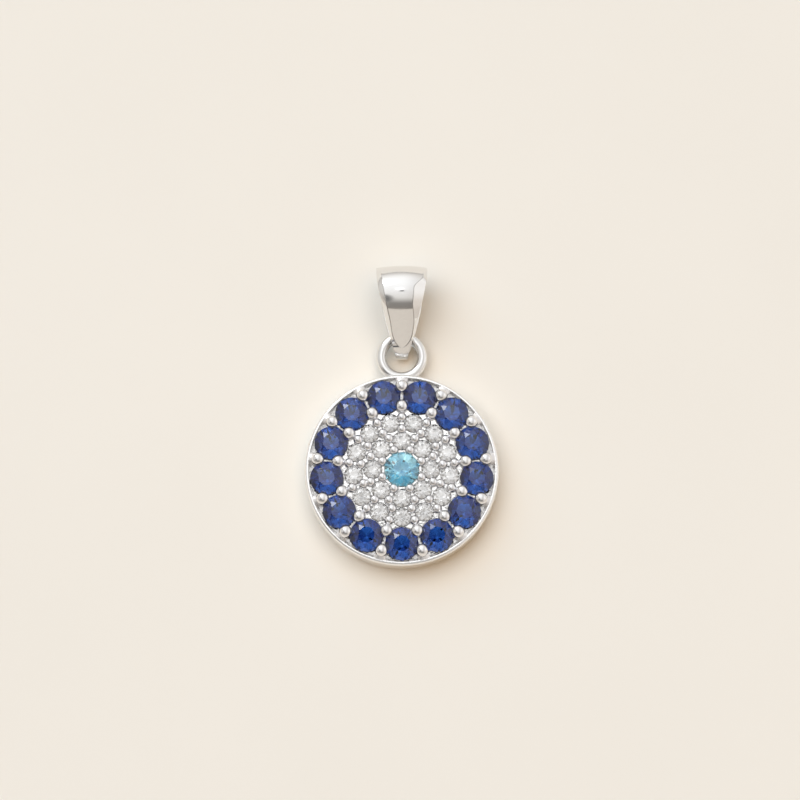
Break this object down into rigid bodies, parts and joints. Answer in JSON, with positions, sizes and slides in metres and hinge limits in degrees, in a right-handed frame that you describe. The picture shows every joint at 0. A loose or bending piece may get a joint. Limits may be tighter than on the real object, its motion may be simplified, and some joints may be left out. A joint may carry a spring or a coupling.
{
  "type": "evil eye pendant",
  "caption": "Round silver pendant set with rings of blue and clear round stones about a pale blue one, with a soldered ring and a tapered bail.",
  "frame": {"origin": "centre of the disc's flat back, on the surface that the pendant lies on", "axes": "+Z out of the face with the stones, +Y from the disc's centre to the ring and the bail, +X to the right of the face"},
  "size_m": [0.0116, 0.0182, 0.0036],
  "materials": {
    "silver": "polished, rhodium plated",
    "blue_stone": "faceted and polished",
    "clear_stone": "faceted and polished",
    "aqua_stone": "faceted and polished"
  },
  "bodies": {
    "root": {"plate": "silver", "soldered_ring": "silver", "bail": "silver", "aqua_stone": "aqua_stone", "blue_stone_1": "blue_stone", "blue_stone_2": "blue_stone", "blue_stone_3": "blue_stone", "blue_stone_4": "blue_stone", "blue_stone_5": "blue_stone", "blue_stone_6": "blue_stone", "blue_stone_7": "blue_stone", "blue_stone_8": "blue_stone", "blue_stone_9": "blue_stone", "blue_stone_10": "blue_stone", "blue_stone_11": "blue_stone", "blue_stone_12": "blue_stone", "blue_stone_13": "blue_stone", "outer_clear_stone_1": "clear_stone", "outer_clear_stone_2": "clear_stone", "outer_clear_stone_3": "clear_stone", "outer_clear_stone_4": "clear_stone", "outer_clear_stone_5": "clear_stone", "outer_clear_stone_6": "clear_stone", "outer_clear_stone_7": "clear_stone", "outer_clear_stone_8": "clear_stone", "outer_clear_stone_9": "clear_stone", "outer_clear_stone_10": "clear_stone", "outer_clear_stone_11": "clear_stone", "outer_clear_stone_12": "clear_stone", "outer_clear_stone_13": "clear_stone", "inner_clear_stone_1": "clear_stone", "inner_clear_stone_2": "clear_stone", "inner_clear_stone_3": "clear_stone", "inner_clear_stone_4": "clear_stone", "inner_clear_stone_5": "clear_stone", "inner_clear_stone_6": "clear_stone", "inner_clear_stone_7": "clear_stone", "inner_clear_stone_8": "clear_stone"}
  },
  "joints": []
}
